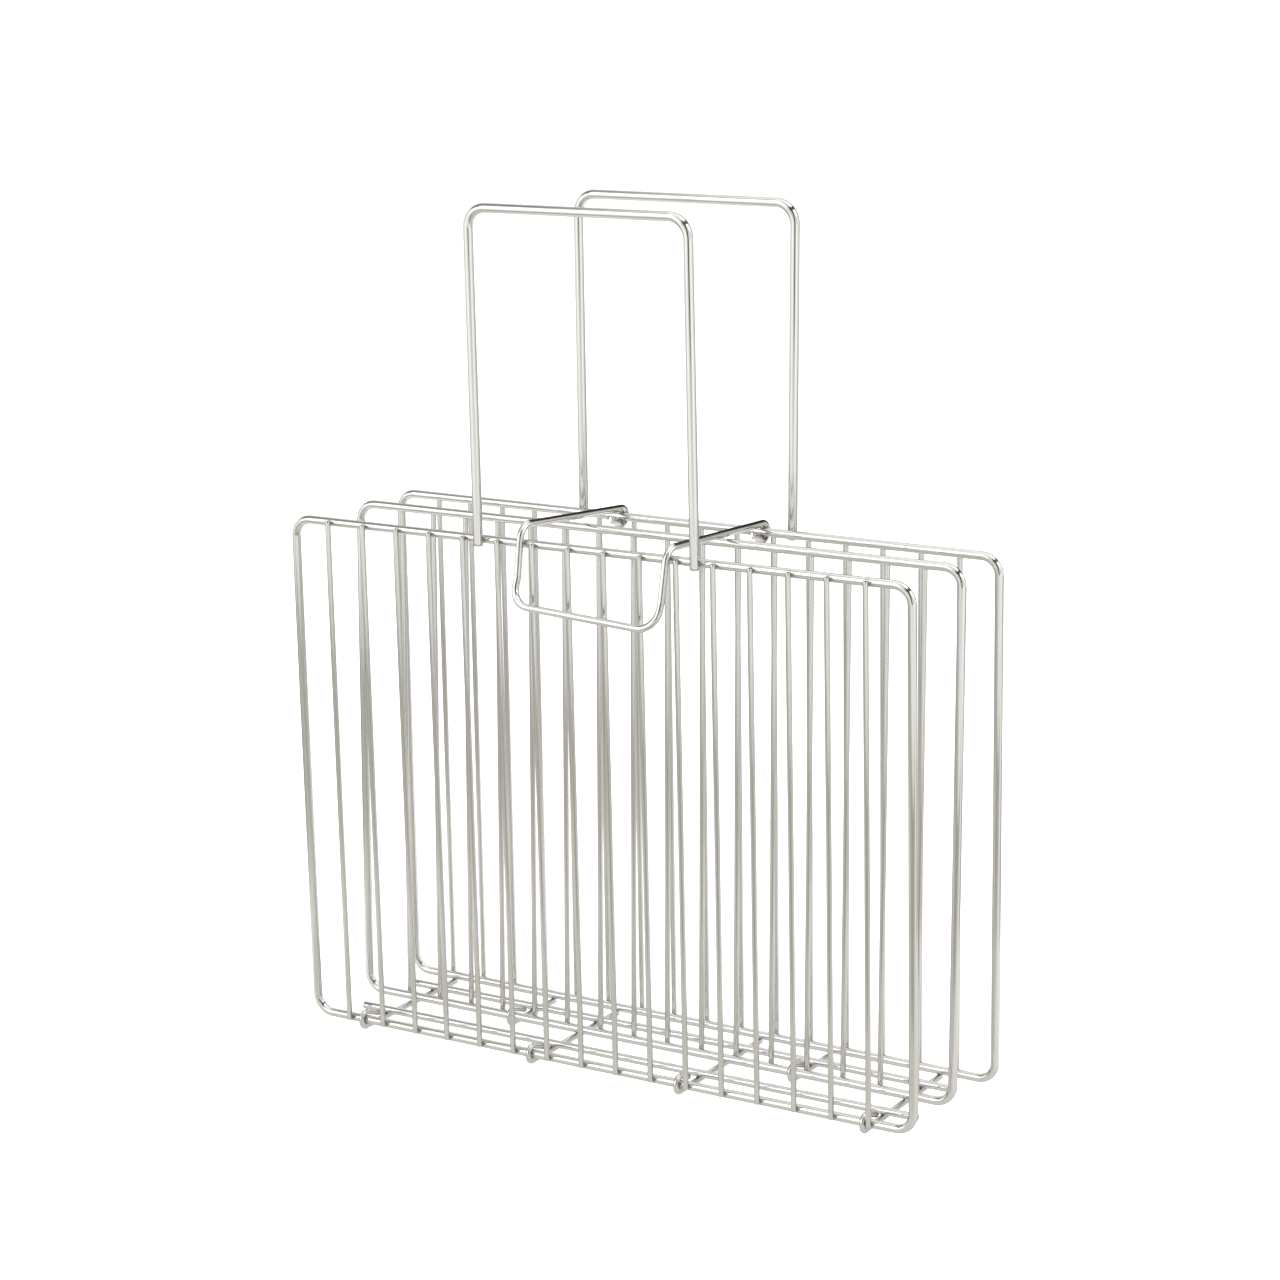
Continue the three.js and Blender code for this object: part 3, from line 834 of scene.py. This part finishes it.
def cap(centre, inner, outer):
    """1 within inner degrees of a direction, 0 beyond outer degrees."""
    return n.step(n.toward(ray, direction_of(*centre)), math.cos(math.radians(outer)), math.cos(math.radians(inner)))


rightward, rearward, upward = (n.toward(ray, axis) for axis in ((1, 0, 0), (0, 1, 0), (0, 0, 1)))
tone = n.mix(n.step(rearward, -0.1, 0.6), (1.02, 1.015, 1.0, 1), (1.30, 1.30, 1.28, 1))
tone = n.mix(cap((-0.35, -0.05, 0.93), 14, 36), tone, (1.40, 1.40, 1.40, 1))
tone = n.mix(cap((-0.55, -0.76, 0.36), 17, 28), tone, (2.4, 2.4, 2.42, 1))
tone = n.mix(cap((-0.59, -0.35, 0.73), 6, 17), tone, (0.72, 0.72, 0.72, 1))
tone = n.mix(cap((0.55, 0.20, 0.80), 24, 38), tone, (2.2, 2.2, 2.22, 1))
seam = n.math("ADD", rearward, times(rightward, -5.0, -2.95))
tone = n.mix(zone((seam, -0.55, -0.30), (rightward, -0.45, -0.57), (rearward, 0.50, 0.28), (upward, 0.25, 0.45)), tone, (0.34, 0.33, 0.32, 1))
gap = n.math("ABSOLUTE", n.math("ADD", n.toward(ray, (0.597, 0.016, -0.802)), 0.285), 0.0)
tone = n.mix(zone((gap, 0.15, 0.06), (rightward, 0.05, 0.22), (upward, 0.24, 0.34)), tone, (0.10, 0.085, 0.065, 1))
for centre, inner, outer in (
    ((0.50, -0.52, 0.70), 9, 19),
    ((0.53, -0.68, 0.50), 9, 19),
    ((0.54, -0.80, 0.26), 7, 17),
    ((0.47, -0.88, 0.00), 7, 15),
):
    tone = n.mix(cap(centre, inner, outer), tone, (0.10, 0.085, 0.065, 1))
tone = n.mix(zone((rearward, 0.72, 0.80), (rightward, 0.70, 0.19)), tone, (0.055, 0.044, 0.036, 1))
background = n.new("ShaderNodeBackground")
n.put(tone, background.inputs["Color"])
n.put(background.outputs["Background"], n.new("ShaderNodeOutputWorld").inputs["Surface"])

# fill for the floor only
fill_data = bpy.data.lights.new("softbox_fill", "AREA")
fill_data.shape = "RECTANGLE"
fill_data.size, fill_data.size_y = 6.0, 6.0
fill_data.energy = 120
fill = bpy.data.objects.new("softbox_fill", fill_data)
scene.collection.objects.link(fill)
fill.location = (0.0, -0.5, 4.0)
fill.visible_glossy = False

# ----------------------------------------------------------------------- camera
AZIMUTH, ELEVATION, ROLL = 31.813, 11.700, 0.1766
DISTANCE, FOCAL = 1686.206, 3370.165 * 36 / 1280
TARGET = vec(-8.019, 50.0, 207.944)
a, e, r = (math.radians(v) for v in (AZIMUTH, ELEVATION, ROLL))
back = vec(math.sin(a) * math.cos(e), -math.cos(a) * math.cos(e), math.sin(e))
right_dir = unit(np.cross(-back, Z))
up_dir = np.cross(right_dir, -back)
right_roll = right_dir * math.cos(r) + up_dir * math.sin(r)
up_roll = -right_dir * math.sin(r) + up_dir * math.cos(r)
# half a pixel of the photograph is a quarter of a millimetre here
eye = (TARGET + back * DISTANCE - right_roll * 0.25 + up_roll * 0.25 + ORIGIN) / 1000
camera_data = bpy.data.cameras.new("camera")
camera_data.sensor_width = 36
camera_data.sensor_fit = "HORIZONTAL"
camera_data.lens = FOCAL
camera_data.clip_end = 500
camera = bpy.data.objects.new("camera", camera_data)
scene.collection.objects.link(camera)
camera.matrix_world = Matrix([(*row, p) for row, p in zip(np.column_stack([right_roll, up_roll, back]), eye)] + [(0, 0, 0, 1)])
scene.camera = camera
scene.view_settings.view_transform = "Standard"
